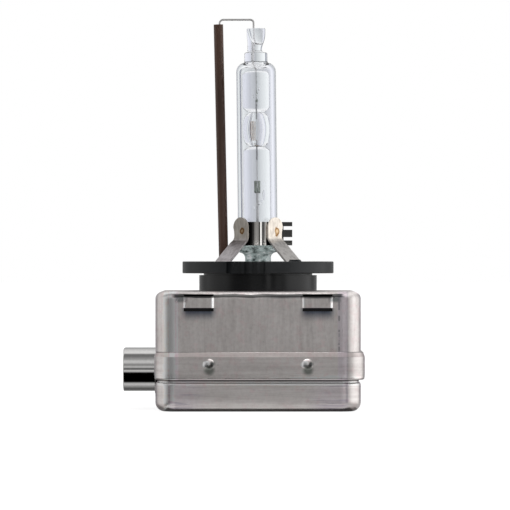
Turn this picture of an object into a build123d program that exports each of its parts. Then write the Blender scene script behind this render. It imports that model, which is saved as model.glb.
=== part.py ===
from build123d import *
import math
import os

# Gas-discharge headlight bulb with its igniter built into the cap.
# Millimetres. +Z runs up the lamp axis towards the glass, and the origin is on that axis in the
# front face of the cap flange. The connector points to -X and the front of the box is -Y.

os.makedirs("parts", exist_ok=True)

# ---------------------------------------------------------------- driving dimensions
# cap flange
flange_radius = 16.0
flange_thickness = 2.5
groove_radius = 11.5
groove_height = 0.4
collar_radius = 12.45
cap_bottom_z = -6.6
rim_round = 0.2
burner_well_radius = 4.5
notch_left_x = -6.6
notch_right_x = 1.5
notch_radius = 14.9
notch_rib_x = (-3.2, -1.55, 0.1)
notch_rib_width = 0.7
pin_mark_x = -4.7
pin_mark_radius = 0.65
pin_mark_z = -0.65
pin_mark_depth = 1.2
boss_radius = 1.4
boss_height = 0.4
boss_taper = 35
boss_circle = 14.2
boss_angles = (-57, 57, 123)

# sheet-metal box
can_half = 21.35
can_corner = 4.3
can_top_z = -6.2
can_top_round = 1.6
can_wall = 0.4
collar_gap = 0.1
band_centre_x = 0.3
band_half = 21.9
band_top_z = -18.75
joggle_bottom_z = -19.75
joggle_taper = 20
joggle_round = 0.22
band_curl_z = -23.3
band_curl_taper = 3
band_bottom_z = -24.55
band_bottom_round = 0.5
cover_top_z = -19.6
cover_shoulder_z = -25.05
cover_shoulder_round = 0.5
cover_bottom_z = -31.1
cover_bottom_round = 1.9
sheet_gap = 0.03
tab_x = 12.3
tab_half_width = 3.1
tab_top_z = -7.2
tab_bottom_z = -9.6
tab_bulge = 0.4
tab_ramp = 0.45
tab_ramp_round = 0.24
tab_root = 0.3
slit_top_z = -6.75
slit_bottom_z = -10.3
detent_x = 10.2
detent_z = -21.3
detent_radius = 1.2
detent_height = 0.5

# connector
connector_z = -22.8
connector_height = 9.0
connector_width = 17.0
connector_rim_x = -28.35
connector_wall = 0.5
connector_depth_x = -17.4
connector_gap = 0.1
insert_back_x = -15.9
insert_recess = 1.2
insert_wall = 0.8
blade_pitch = 4.2
blade_width = 1.5
blade_thickness = 0.64
blade_tip_x = -23.4
blade_tail_x = -13.8
pad_half_width = 11.2
pad_slope_z = -27.35
pad_bottom_z = -28.0
pad_rise = 1.0

# inner housing and what it holds
housing_half = 20.35
housing_corner = 3.5
housing_wall = 1.2
housing_bottom_z = -29.0
housing_top_round = 1.8
lid_inset = 1.0
lid_height = 1.7
lid_round = 1.3
carrier_top_z = -26.6
carrier_thickness = 1.0
carrier_gap = 0.2
carrier_hole_radius = 0.9
carrier_hole_pitch_x = 10.0
carrier_hole_pitch_y = 34.0
busbar_thickness = 0.3
busbar_x = 1.0
busbar_length = 30.0
busbar_width = 2.2
busbar_rows = (-12.5, -4.2, 0.0, 4.2, 12.5)
core_chamfer = 0.4
core_x = 11.6
core_z = -17.3
core_radius = 3.5
core_half_length = 16.5
bobbin_half_length = 15.0
bobbin_tube_radius = 4.3
bobbin_flange_radius = 7.0
bobbin_flange_thickness = 1.0
bobbin_flanges = 5
secondary_radius = 6.4
primary_turns = 4
primary_radius = 7.45
primary_width = 2.4
primary_gap_width = 3.0
contact_top_z = -9.2
contact_bottom_z = -13.5
contact_radius = 1.2
strap_thickness = 0.4
strap_left_x = -0.3
strap_turn_x = 1.5
strap_near_y = -1.0
# the strap ends on the winding between two flanges of the bobbin
strap_low_y = 2.6
strap_high_y = 4.6
strap_bite = 0.5
terminal_radius = 0.9
terminal_above_wire_end = 2.0
terminal_below_wire_end = 1.0
terminal_blade = (0.5, 1.6)
gap_centre = (-5.5, 11.5, -20.5)
gap_outer_radius = 3.6
gap_inner_radius = 2.6
gap_half_length = 2.8
gap_cap_radius = 3.8
gap_cap_thickness = 1.2
gap_electrode_radius = 1.5
gap_electrode_length = 2.4
gap_lead_offset = 3.4
gap_lead_radius = 0.4
capacitor_centre = (-5.5, -11.5)
capacitor_length = 16.0
capacitor_width = 8.0
capacitor_height = 10.5
capacitor_corner = 1.0
capacitor_round = 0.6
resistor_centre = (-2.6, 3.0, -23.6)
resistor_radius = 1.2
resistor_half_length = 2.8
resistor_round = 0.4
resistor_lead_radius = 0.3
resistor_lead_reach = 3.8
resistor_lead_bend = 0.5

# burner: everything inside the glass is turned about one axis, which leans a little to -X
lean = math.radians(0.6)
bulb_radius = 4.185
bulb_wall = 0.95
neck_radius = 2.725
neck_bottom_z = -5.0
taper_low_z = 1.0
taper_high_z = 2.4
shoulder_low_z = 40.3
shoulder_high_z = 42.3
tip_collar_radius = 2.515
tip_collar_top_z = 44.2
end_tube_top_z = 49.5
end_tube_low_radius = 1.65
end_tube_top_radius = 2.08
end_bore_low_radius = 0.35
end_bore_top_radius = 1.3
end_bore_bottom_z = 45.4
stem_radius = 2.0
stem_bottom_z = -7.0
stem_bore_radius = 1.0
stem_bore_top_z = 15.0
chamber_z = 27.93
chamber_radius = 2.95
chamber_half_height = 4.2
cavity_radius = 1.4
cavity_half_height = 3.6
arc_gap = 4.2
electrode_radius = 0.13
electrode_upper_z = 34.2
electrode_lower_z = 21.5
foil_length = 6.0
foil_width = 1.7
foil_thickness = 0.12
lead_radius = 0.18
lead_bottom_z = -12.0
fill_top_z = 25.05

# burner support
ring_outer_radius = 4.9
ring_inner_radius = 4.55
ring_rib_radius = 4.32
ring_low_z = 3.4
ring_high_z = 8.35
ring_rib_inset = 1.2
ring_rib_half_height = 0.5
ring_rib_bite = 0.1
ear_bite = 0.4
ear_slot_x = 5.4
ear_end_x = 7.05
ear_half_thickness = 0.4
ear_split = 0.1
ear_slots = ((6.7, 7.45), (4.45, 5.15))
leg_thickness = 0.35
leg_width = 4.3
leg_head_z = 9.3
leg_bend_z = 4.6
leg_foot_radius = 10.4
leg_foot_z = -1.8
leg_bend_round = 1.4
leg_waist = 0.3
leg_waist_z = 4.0
leg_angles = {
    "front_right": -45,
    "rear_right": 45,
    "rear_left": 135,
    "front_left": 225,
}

# return conductor
tube_radius = 1.0
tube_bore_radius = 0.5
tube_top_x = -8.4
tube_top_z = 50.18
tube_low_x = -7.3
tube_low_z = 1.5
tube_bottom_z = -8.6
wire_radius = 0.21
wire_top_z = 51.2
wire_lean_x = 0.27
wire_drop_x = -0.93
wire_end_z = 42.6
wire_bend_outer = 0.8
wire_bend_inner = 0.7
lead_rise = 0.7
wire_bottom_z = -12.0

# ---------------------------------------------------------------- shared planes and axes
# burner section: local x is the distance from the burner axis, local y is the height along it
burner_section = Plane(
    origin=(0, 0, 0),
    x_dir=(math.cos(lean), 0, math.sin(lean)),
    z_dir=(0, -1, 0),
)
burner_axis = Axis((0, 0, 0), (-math.sin(lean), 0, math.cos(lean)))
# connector section: seen from the box looking out to -X, so local y points down
connector_section = Plane(origin=(0, 0, connector_z), x_dir=(0, 1, 0), z_dir=(-1, 0, 0))


def radial_section(angle):
    """Upright plane through the lamp axis: local x points outwards at this angle, local y up."""
    a = math.radians(angle)
    return Plane(
        origin=(0, 0, 0),
        x_dir=(math.cos(a), math.sin(a), 0),
        z_dir=(math.sin(a), -math.cos(a), 0),
    )


def facing_section(angle):
    """Upright plane square to this angle: local x runs sideways, local y up."""
    a = math.radians(angle)
    return Plane(
        origin=(0, 0, 0),
        x_dir=(-math.sin(a), math.cos(a), 0),
        z_dir=(math.cos(a), math.sin(a), 0),
    )


# ---------------------------------------------------------------- electrodes, foils and leads
electrode_spans = {
    "upper": (chamber_z + arc_gap / 2, electrode_upper_z),
    "lower": (electrode_lower_z, chamber_z - arc_gap / 2),
}
foil_spans = {
    "upper": (electrode_upper_z, electrode_upper_z + foil_length),
    "lower": (electrode_lower_z - foil_length, electrode_lower_z),
}
in_stems = []
for side, (low_z, high_z) in electrode_spans.items():
    with BuildPart() as electrode:
        with BuildSketch(burner_section):
            with Locations((electrode_radius / 2, (low_z + high_z) / 2)):
                Rectangle(electrode_radius, high_z - low_z)
        revolve(axis=burner_axis)
    electrode.part.label = f"{side}_electrode"
    export_step(electrode.part, f"parts/{side}_electrode.step")
    in_stems.append(electrode.part)

for side, (low_z, high_z) in foil_spans.items():
    with BuildPart() as foil:
        with BuildSketch(burner_section):
            with Locations((0, (low_z + high_z) / 2)):
                Rectangle(foil_thickness, high_z - low_z)
        extrude(amount=foil_width / 2, both=True)
    foil.part.label = f"{side}_foil"
    export_step(foil.part, f"parts/{side}_foil.step")
    in_stems.append(foil.part)

lead_high_z = electrode_lower_z - foil_length
with BuildPart() as lower_lead:
    with BuildSketch(burner_section):
        with Locations((lead_radius / 2, (lead_bottom_z + lead_high_z) / 2)):
            Rectangle(lead_radius, lead_high_z - lead_bottom_z)
    revolve(axis=burner_axis)
lower_lead.part.label = "lower_lead"
export_step(lower_lead.part, "parts/lower_lead.step")
in_stems.append(lower_lead.part)

# the upper lead crosses from the foil's end to the end of the return wire
foil_end_z = electrode_upper_z + foil_length
foil_end = burner_section.from_local_coords(Vector(0, foil_end_z, 0))
with BuildPart() as upper_lead:
    with BuildLine():
        lead_line = FilletPolyline(
            foil_end,
            foil_end + (0, 0, lead_rise),
            (wire_drop_x, 0, wire_end_z - lead_rise),
            (wire_drop_x, 0, wire_end_z),
            radius=lead_rise / 2,
        )
    with BuildSketch(Plane(origin=lead_line @ 0, z_dir=lead_line % 0)):
        Circle(wire_radius)
    sweep()
upper_lead.part.label = "upper_lead"
export_step(upper_lead.part, "parts/upper_lead.step")
in_stems.append(upper_lead.part)

# ---------------------------------------------------------------- return tube and wire
tube_slope = (tube_top_x - tube_low_x) / (tube_top_z - tube_low_z)


def tube_x(z):
    """The return tube's axis at height z."""
    return tube_low_x + tube_slope * (z - tube_low_z)


tube_direction = Vector(tube_slope, 0, 1).normalized()
tube_foot = Vector(tube_x(tube_bottom_z), 0, tube_bottom_z)
tube_length = (tube_top_z - tube_bottom_z) / tube_direction.Z
tube_plane = Plane(origin=tube_foot, x_dir=(0, 1, 0), z_dir=tube_direction)
with BuildPart() as return_tube:
    with BuildSketch(tube_plane):
        Circle(tube_radius)
        Circle(tube_bore_radius, mode=Mode.SUBTRACT)
    extrude(amount=tube_length)
return_tube.part.label = "return_tube"
export_step(return_tube.part, "parts/return_tube.step")

with BuildPart() as return_wire:
    with BuildLine():
        wire_path = FilletPolyline(
            (tube_x(wire_bottom_z), 0, wire_bottom_z),
            (tube_x(wire_top_z) + wire_lean_x, 0, wire_top_z),
            (wire_drop_x, 0, wire_top_z),
            (wire_drop_x, 0, wire_end_z),
            radius=[wire_bend_outer, wire_bend_inner],
        )
    with BuildSketch(Plane(origin=wire_path @ 0, z_dir=wire_path % 0)):
        Circle(wire_radius)
    sweep()
return_wire.part.label = "return_wire"
export_step(return_wire.part, "parts/return_wire.step")
in_stems.append(return_wire.part)

# ---------------------------------------------------------------- arc tube
# the stems meet the chamber's ellipse where it is as wide as they are
stem_meets = chamber_half_height * math.sqrt(1 - (stem_radius / chamber_radius) ** 2)
with BuildPart() as arc_tube:
    with BuildSketch(burner_section):
        with BuildLine():
            Polyline(
                (stem_radius, chamber_z - stem_meets),
                (stem_radius, stem_bottom_z),
                (0, stem_bottom_z),
                (0, end_tube_top_z),
                (end_tube_top_radius, end_tube_top_z),
                (end_tube_low_radius, tip_collar_top_z),
                (end_tube_low_radius, shoulder_high_z),
                (stem_radius, shoulder_low_z),
                (stem_radius, chamber_z + stem_meets),
            )
            ThreePointArc(
                (stem_radius, chamber_z + stem_meets),
                (chamber_radius, chamber_z),
                (stem_radius, chamber_z - stem_meets),
            )
        make_face()
    revolve(axis=burner_axis)
    with BuildSketch(burner_section):
        with BuildLine():
            Line((0, chamber_z - cavity_half_height), (0, chamber_z + cavity_half_height))
            ThreePointArc(
                (0, chamber_z + cavity_half_height),
                (cavity_radius, chamber_z),
                (0, chamber_z - cavity_half_height),
            )
        make_face()
    revolve(axis=burner_axis, mode=Mode.SUBTRACT)
    with BuildSketch(burner_section):
        with BuildLine():
            Polyline(
                (0, end_bore_bottom_z),
                (end_bore_low_radius, end_bore_bottom_z),
                (end_bore_top_radius, end_tube_top_z),
                (0, end_tube_top_z),
                close=True,
            )
        make_face()
    revolve(axis=burner_axis, mode=Mode.SUBTRACT)
    with BuildSketch(burner_section):
        with Locations((stem_bore_radius / 2, (stem_bottom_z + stem_bore_top_z) / 2)):
            Rectangle(stem_bore_radius, stem_bore_top_z - stem_bottom_z)
    revolve(axis=burner_axis, mode=Mode.SUBTRACT)
    for metal in in_stems:
        add(metal, mode=Mode.SUBTRACT)
arc_tube.part.label = "arc_tube"
export_step(arc_tube.part, "parts/arc_tube.step")

# salts lie in the bottom of the chamber, around the lower electrode
with BuildPart() as halide_fill:
    with BuildSketch(burner_section):
        with BuildLine():
            Line((0, chamber_z - cavity_half_height), (0, chamber_z + cavity_half_height))
            ThreePointArc(
                (0, chamber_z + cavity_half_height),
                (cavity_radius, chamber_z),
                (0, chamber_z - cavity_half_height),
            )
        make_face()
        with Locations((0, fill_top_z)):
            Rectangle(
                2 * cavity_radius,
                2 * cavity_half_height,
                align=(Align.CENTER, Align.MIN),
                mode=Mode.SUBTRACT,
            )
        Rectangle(2 * electrode_radius, 2 * chamber_z, mode=Mode.SUBTRACT)
    revolve(axis=burner_axis)
halide_fill.part.label = "halide_fill"
export_step(halide_fill.part, "parts/halide_fill.step")

# ---------------------------------------------------------------- outer bulb
bulb_bore = bulb_radius - bulb_wall
with BuildPart() as outer_bulb:
    with BuildSketch(burner_section):
        with BuildLine():
            Polyline(
                (stem_radius, neck_bottom_z),
                (neck_radius, neck_bottom_z),
                (neck_radius, taper_low_z),
            )
            TangentArc(
                (neck_radius, taper_low_z), (bulb_radius, taper_high_z), tangent=(0, 1)
            )
            Line((bulb_radius, taper_high_z), (bulb_radius, shoulder_low_z))
            TangentArc(
                (bulb_radius, shoulder_low_z),
                (tip_collar_radius, shoulder_high_z),
                tangent=(0, 1),
            )
            Polyline(
                (tip_collar_radius, shoulder_high_z),
                (tip_collar_radius, tip_collar_top_z),
                (end_tube_low_radius, tip_collar_top_z),
                (end_tube_low_radius, shoulder_high_z),
                (stem_radius, shoulder_low_z),
                (bulb_bore, shoulder_low_z - bulb_wall),
                (bulb_bore, taper_high_z + bulb_wall),
                (stem_radius, taper_high_z),
                (stem_radius, neck_bottom_z),
            )
        make_face()
    revolve(axis=burner_axis)
outer_bulb.part.label = "outer_bulb"
export_step(outer_bulb.part, "parts/outer_bulb.step")

# ---------------------------------------------------------------- clamp ring
ring_rib_z = (ring_low_z + ring_rib_inset, ring_high_z - ring_rib_inset)
with BuildPart() as clamp_ring:
    with BuildSketch(Plane.XY.offset(ring_low_z)):
        Circle(ring_outer_radius)
    extrude(amount=ring_high_z - ring_low_z)
    with BuildSketch(Plane.XZ):
        with Locations(((ring_outer_radius + ear_end_x) / 2, (ring_low_z + ring_high_z) / 2)):
            Rectangle(ear_end_x - ring_outer_radius + ear_bite, ring_high_z - ring_low_z)
    extrude(amount=ear_half_thickness, both=True)
    with BuildSketch(Plane.XZ):
        for slot_low, slot_high in ear_slots:
            with Locations((ear_slot_x, (slot_low + slot_high) / 2)):
                Rectangle(
                    ear_end_x,
                    slot_high - slot_low,
                    align=(Align.MIN, Align.CENTER),
                )
    extrude(amount=2 * ear_half_thickness, both=True, mode=Mode.SUBTRACT)
    with BuildSketch(Plane.XY.offset(ring_low_z)):
        Circle(ring_inner_radius)
    extrude(amount=ring_high_z - ring_low_z, mode=Mode.SUBTRACT)
    for rib_z in ring_rib_z:
        with BuildSketch(Plane.XZ):
            with BuildLine():
                Polyline(
                    (ring_inner_radius + ring_rib_bite, rib_z - ring_rib_half_height),
                    (ring_rib_radius, rib_z),
                    (ring_inner_radius + ring_rib_bite, rib_z + ring_rib_half_height),
                    close=True,
                )
            make_face()
        revolve(axis=Axis.Z)
    with BuildSketch(Plane.XY.offset(ring_low_z)):
        with Locations((ring_outer_radius, 0)):
            Rectangle(2 * ring_outer_radius, ear_split)
    extrude(amount=ring_high_z - ring_low_z, mode=Mode.SUBTRACT)
clamp_ring.part.label = "clamp_ring"
export_step(clamp_ring.part, "parts/clamp_ring.step")

# ---------------------------------------------------------------- support legs
leg_middle = ring_outer_radius + leg_thickness / 2
leg_solids = []
for place, angle in leg_angles.items():
    with BuildPart() as support_leg:
        with BuildSketch(radial_section(angle)):
            with BuildLine():
                leg_path = FilletPolyline(
                    (leg_middle, leg_head_z),
                    (leg_middle, leg_bend_z),
                    (leg_foot_radius, 0),
                    (leg_foot_radius, leg_foot_z),
                    radius=[leg_bend_round, leg_thickness],
                )
                offset(leg_path, amount=leg_thickness / 2, side=Side.BOTH)
            make_face()
        extrude(amount=leg_width / 2, both=True)
        with BuildSketch(facing_section(angle)):
            # the waist is on the edge that faces away from the plane X = 0
            outer = 1 if math.sin(math.radians(2 * angle)) < 0 else -1
            half = outer * leg_width / 2
            head_z = leg_head_z - leg_width / 2
            with BuildLine():
                ThreePointArc((-half, head_z), (0, leg_head_z), (half, head_z))
                ThreePointArc(
                    (half, head_z),
                    (half - outer * leg_waist, (head_z + leg_waist_z) / 2),
                    (half, leg_waist_z),
                )
                Polyline(
                    (half, leg_waist_z),
                    (half, leg_foot_z),
                    (-half, leg_foot_z),
                    (-half, head_z),
                )
            make_face()
        extrude(amount=flange_radius, mode=Mode.INTERSECT)
    support_leg.part.label = f"support_leg_{place}"
    export_step(support_leg.part, f"parts/support_leg_{place}.step")
    leg_solids.append(support_leg.part)

# ---------------------------------------------------------------- cap flange
with BuildPart() as cap_flange:
    with BuildSketch(Plane.XY.offset(-flange_thickness)):
        Circle(flange_radius)
    extrude(amount=flange_thickness)
    fillet(cap_flange.edges().filter_by(GeomType.CIRCLE), radius=rim_round)
    with BuildSketch(Plane.XY.offset(-flange_thickness - groove_height)):
        Circle(groove_radius)
    extrude(amount=groove_height)
    with BuildSketch(Plane.XY.offset(cap_bottom_z)):
        Circle(collar_radius)
    extrude(amount=-flange_thickness - groove_height - cap_bottom_z)
    with BuildSketch(Plane.XY):
        for boss_angle in boss_angles:
            with PolarLocations(boss_circle, 1, start_angle=boss_angle):
                Circle(boss_radius)
    extrude(amount=boss_height, taper=boss_taper)
    with BuildSketch(Plane.XY.offset(-flange_thickness)):
        Circle(flange_radius + 1)
        Circle(notch_radius, mode=Mode.SUBTRACT)
        with Locations(((notch_left_x + notch_right_x) / 2, -flange_radius)):
            Rectangle(notch_right_x - notch_left_x, flange_radius, mode=Mode.INTERSECT)
        with Locations([(rib_x, -flange_radius) for rib_x in notch_rib_x]):
            Rectangle(notch_rib_width, 4 * (flange_radius - notch_radius), mode=Mode.SUBTRACT)
    extrude(amount=flange_thickness, mode=Mode.SUBTRACT)
    with BuildSketch(Plane.XZ.offset(notch_radius - pin_mark_depth)):
        with Locations((pin_mark_x, pin_mark_z)):
            Circle(pin_mark_radius)
            Circle(pin_mark_radius / 2, mode=Mode.SUBTRACT)
    extrude(amount=flange_radius, mode=Mode.SUBTRACT)
    Hole(burner_well_radius)
    for leg_solid in leg_solids:
        add(leg_solid, mode=Mode.SUBTRACT)
    with BuildSketch(tube_plane):
        Circle(tube_radius)
    extrude(amount=tube_length, mode=Mode.SUBTRACT)
cap_flange.part.label = "cap_flange"
export_step(cap_flange.part, "parts/cap_flange.step")

# ---------------------------------------------------------------- connector shell
with BuildPart() as connector_shell:
    with BuildSketch(connector_section.offset(-connector_depth_x)):
        SlotOverall(connector_width, connector_height)
        SlotOverall(
            connector_width - 2 * connector_wall,
            connector_height - 2 * connector_wall,
            mode=Mode.SUBTRACT,
        )
    extrude(amount=connector_depth_x - connector_rim_x)
    rim_edges = connector_shell.faces().sort_by(Axis.X)[0].edges()
    fillet(rim_edges, radius=connector_wall * 0.4)
connector_shell.part.label = "connector_shell"
export_step(connector_shell.part, "parts/connector_shell.step")

# ---------------------------------------------------------------- connector blades and insert
blade_places = [(index - 1) * blade_pitch for index in range(3)]
blade_solids = []
for index, blade_y in enumerate(blade_places):
    with BuildPart() as contact_pin:
        with BuildSketch(Plane.XZ.offset(-blade_y)):
            with BuildLine():
                Polyline(
                    (blade_tip_x, connector_z + blade_thickness / 2),
                    (blade_tail_x, connector_z + blade_thickness / 2),
                    (blade_tail_x, carrier_top_z),
                    (blade_tail_x - blade_thickness, carrier_top_z),
                    (blade_tail_x - blade_thickness, connector_z - blade_thickness / 2),
                    (blade_tip_x, connector_z - blade_thickness / 2),
                    close=True,
                )
            make_face()
        extrude(amount=blade_width / 2, both=True)
        tip_edges = contact_pin.faces().sort_by(Axis.X)[0].edges()
        chamfer(tip_edges, length=blade_thickness * 0.35)
    contact_pin.part.label = f"contact_pin_{index + 1}"
    export_step(contact_pin.part, f"parts/contact_pin_{index + 1}.step")
    blade_solids.append(contact_pin.part)

insert_width = connector_width - 2 * connector_wall
insert_height = connector_height - 2 * connector_wall
with BuildPart() as connector_insert:
    with BuildSketch(connector_section.offset(-insert_back_x)):
        SlotOverall(insert_width, insert_height)
    extrude(amount=insert_back_x - connector_rim_x - insert_recess)
    with BuildSketch(connector_section.offset(-connector_depth_x)):
        SlotOverall(insert_width - 2 * insert_wall, insert_height - 2 * insert_wall)
    extrude(amount=connector_depth_x - connector_rim_x, mode=Mode.SUBTRACT)
    for blade_solid in blade_solids:
        add(blade_solid, mode=Mode.SUBTRACT)
connector_insert.part.label = "connector_insert"
export_step(connector_insert.part, "parts/connector_insert.step")

# ---------------------------------------------------------------- shield can (upper half of the box)
detent_sphere = (detent_radius**2 + detent_height**2) / (2 * detent_height)
detent_centre = band_half + detent_height - detent_sphere
detent_places = [(x, side * detent_centre, detent_z) for x in (-detent_x, detent_x) for side in (-1, 1)]
can_inner = can_half - can_wall + sheet_gap
band_left_x = band_centre_x - band_half
band_corner = can_corner + band_half - can_half
tab_middle = can_half - can_wall / 2
tab_places = [(x, side) for x in (-tab_x, tab_x) for side in (-1, 1)]
slot_width = connector_width + connector_gap
slot_height = connector_height + connector_gap
wall_cut = 4.0
with BuildPart() as shield_can:
    with BuildSketch(Plane.XY.offset(band_top_z)):
        RectangleRounded(2 * can_half, 2 * can_half, can_corner)
    extrude(amount=can_top_z - band_top_z)
    fillet(shield_can.faces().sort_by(Axis.Z)[-1].edges(), radius=can_top_round)
    # the band: a joggle that slopes out, a straight side, and an edge that curls in
    with BuildSketch(Plane.XY.offset(joggle_bottom_z)) as joggle_sketch:
        with Locations((band_centre_x, 0)):
            RectangleRounded(2 * band_half, 2 * band_half, band_corner)
    joggle = extrude(amount=band_top_z - joggle_bottom_z, taper=joggle_taper, mode=Mode.PRIVATE)
    add(joggle.fillet(joggle_round, joggle.faces().sort_by(Axis.Z)[-1].edges()))
    extrude(to_extrude=joggle_sketch.sketch, amount=band_curl_z - joggle_bottom_z)
    curl_start = joggle_sketch.sketch.moved(Location((0, 0, band_curl_z - joggle_bottom_z)))
    curl = extrude(
        to_extrude=curl_start,
        amount=band_bottom_z - band_curl_z,
        taper=band_curl_taper,
        mode=Mode.PRIVATE,
    )
    add(curl.fillet(band_bottom_round, curl.faces().sort_by(Axis.Z)[0].edges()))
    with Locations(detent_places):
        Sphere(detent_sphere)
    # the tongue that reaches down around the connector
    with BuildSketch(Plane.XZ):
        with BuildLine():
            Polyline(
                (band_left_x, band_bottom_z + pad_rise),
                (band_left_x, pad_slope_z),
                (-can_half - sheet_gap, pad_bottom_z),
                (-can_half - sheet_gap, band_bottom_z + pad_rise),
                close=True,
            )
        make_face()
    extrude(amount=pad_half_width, both=True)
    # hollow inside
    with BuildSketch(Plane.XY.offset(pad_bottom_z)):
        RectangleRounded(2 * can_inner, 2 * can_inner, can_corner - can_wall)
    inner_block = extrude(amount=can_top_z - can_wall - pad_bottom_z, mode=Mode.PRIVATE)
    inner_top = inner_block.faces().sort_by(Axis.Z)[-1].edges()
    inner_block = inner_block.fillet(can_top_round - can_wall, inner_top)
    add(inner_block, mode=Mode.SUBTRACT)
    # hollow backs of the detent domes
    with Locations(detent_places):
        Sphere(detent_sphere - can_wall, mode=Mode.SUBTRACT)
    # bridge-lanced tabs
    for place_x, side in tab_places:
        with BuildSketch(Plane.XZ):
            with Locations((place_x, (slit_top_z + slit_bottom_z) / 2)):
                Rectangle(2 * tab_half_width, slit_top_z - slit_bottom_z)
        extrude(amount=-side * (can_half + 1), mode=Mode.SUBTRACT)
        low_y = side * tab_middle
        high_y = side * (tab_middle + tab_bulge)
        left_x = place_x - tab_half_width
        right_x = place_x + tab_half_width
        with BuildSketch(Plane.XY.offset(tab_bottom_z)):
            with BuildLine():
                bridge = FilletPolyline(
                    (left_x - tab_root, low_y),
                    (left_x, low_y),
                    (left_x + tab_ramp, high_y),
                    (right_x - tab_ramp, high_y),
                    (right_x, low_y),
                    (right_x + tab_root, low_y),
                    radius=tab_ramp_round,
                )
                offset(bridge, amount=can_wall / 2, side=Side.BOTH)
            make_face()
        extrude(amount=tab_top_z - tab_bottom_z)
    # openings for the cap and the connector
    with BuildSketch(Plane.XY.offset(can_top_z)):
        Circle(collar_radius + collar_gap)
    extrude(amount=-2 * can_wall, mode=Mode.SUBTRACT)
    with BuildSketch(connector_section.offset(can_inner - 1)):
        SlotOverall(slot_width, slot_height)
    extrude(amount=wall_cut, mode=Mode.SUBTRACT)
shield_can.part.label = "shield_can"
export_step(shield_can.part, "parts/shield_can.step")

# ---------------------------------------------------------------- shield cover (lower half of the box)
neck_half = can_inner - sheet_gap
cavity_half = neck_half - can_wall
with BuildPart() as shield_cover:
    with BuildSketch(Plane.XY.offset(cover_bottom_z)):
        RectangleRounded(2 * can_half, 2 * can_half, can_corner)
    extrude(amount=cover_shoulder_z - cover_bottom_z)
    fillet(shield_cover.faces().sort_by(Axis.Z)[0].edges(), radius=cover_bottom_round)
    fillet(shield_cover.faces().sort_by(Axis.Z)[-1].edges(), radius=cover_shoulder_round)
    with BuildSketch(Plane.XY.offset(cover_shoulder_z)):
        RectangleRounded(2 * neck_half, 2 * neck_half, can_corner - can_wall)
    extrude(amount=cover_top_z - cover_shoulder_z)
    with Locations(detent_places):
        Sphere(detent_sphere - can_wall - sheet_gap)
    with BuildSketch(Plane.XY.offset(cover_bottom_z + can_wall)):
        RectangleRounded(2 * cavity_half, 2 * cavity_half, can_corner - 2 * can_wall)
    cover_block = extrude(amount=cover_top_z - cover_bottom_z + 1, mode=Mode.PRIVATE)
    cover_floor = cover_block.faces().sort_by(Axis.Z)[0].edges()
    cover_block = cover_block.fillet(cover_bottom_round - can_wall, cover_floor)
    add(cover_block, mode=Mode.SUBTRACT)
    with BuildSketch(connector_section.offset(can_inner - 1)):
        SlotOverall(slot_width, slot_height)
        # open upwards, so that the cover slides on from below with the connector in place
        with Locations((0, -connector_height / 2)):
            Rectangle(slot_width, connector_height)
    extrude(amount=wall_cut, mode=Mode.SUBTRACT)
shield_cover.part.label = "shield_cover"
export_step(shield_cover.part, "parts/shield_cover.step")

# ---------------------------------------------------------------- inner housing and its lid
housing_inner = housing_half - housing_wall
with BuildPart() as igniter_housing:
    with BuildSketch(Plane.XY.offset(housing_bottom_z)):
        RectangleRounded(2 * housing_half, 2 * housing_half, housing_corner)
    extrude(amount=cap_bottom_z - housing_bottom_z)
    fillet(igniter_housing.faces().sort_by(Axis.Z)[-1].edges(), radius=housing_top_round)
    with BuildSketch(Plane.XY.offset(housing_bottom_z)):
        RectangleRounded(2 * housing_inner, 2 * housing_inner, housing_corner - housing_wall)
    extrude(amount=cap_bottom_z - housing_wall - housing_bottom_z, mode=Mode.SUBTRACT)
    with BuildSketch(Plane.XY.offset(cap_bottom_z)):
        Circle(burner_well_radius)
    extrude(amount=-2 * housing_wall, mode=Mode.SUBTRACT)
    with BuildSketch(tube_plane):
        Circle(tube_radius)
    extrude(amount=tube_length, mode=Mode.SUBTRACT)
    with BuildSketch(connector_section.offset(housing_inner - 1)):
        SlotOverall(connector_width, connector_height)
    extrude(amount=wall_cut, mode=Mode.SUBTRACT)
igniter_housing.part.label = "igniter_housing"
export_step(igniter_housing.part, "parts/igniter_housing.step")

lid_half = housing_half - lid_inset
with BuildPart() as housing_lid:
    with BuildSketch(Plane.XY.offset(housing_bottom_z)):
        RectangleRounded(2 * lid_half, 2 * lid_half, housing_corner - lid_inset)
    extrude(amount=-lid_height)
    fillet(housing_lid.faces().sort_by(Axis.Z)[0].edges(), radius=lid_round)
housing_lid.part.label = "housing_lid"
export_step(housing_lid.part, "parts/housing_lid.step")

# ---------------------------------------------------------------- circuit carrier, busbars, potting
carrier_bottom_z = carrier_top_z - carrier_thickness
busbar_bottom_z = carrier_bottom_z - busbar_thickness
carrier_half = housing_inner - carrier_gap
carrier_left_x = insert_back_x + 2 * carrier_gap
with BuildPart() as circuit_carrier:
    with BuildSketch(Plane.XY.offset(carrier_bottom_z)):
        with Locations((carrier_left_x, 0)):
            Rectangle(
                carrier_half - carrier_left_x,
                2 * carrier_half,
                align=(Align.MIN, Align.CENTER),
            )
        with Locations(((carrier_left_x + carrier_half) / 2, 0)):
            with GridLocations(carrier_hole_pitch_x, carrier_hole_pitch_y, 3, 2):
                Circle(carrier_hole_radius, mode=Mode.SUBTRACT)
    extrude(amount=carrier_thickness)
    carrier_corners = circuit_carrier.edges().filter_by(Axis.Z).group_by(Axis.X)[-1]
    fillet(carrier_corners, radius=housing_corner - housing_wall)
circuit_carrier.part.label = "circuit_carrier"
export_step(circuit_carrier.part, "parts/circuit_carrier.step")

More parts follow.
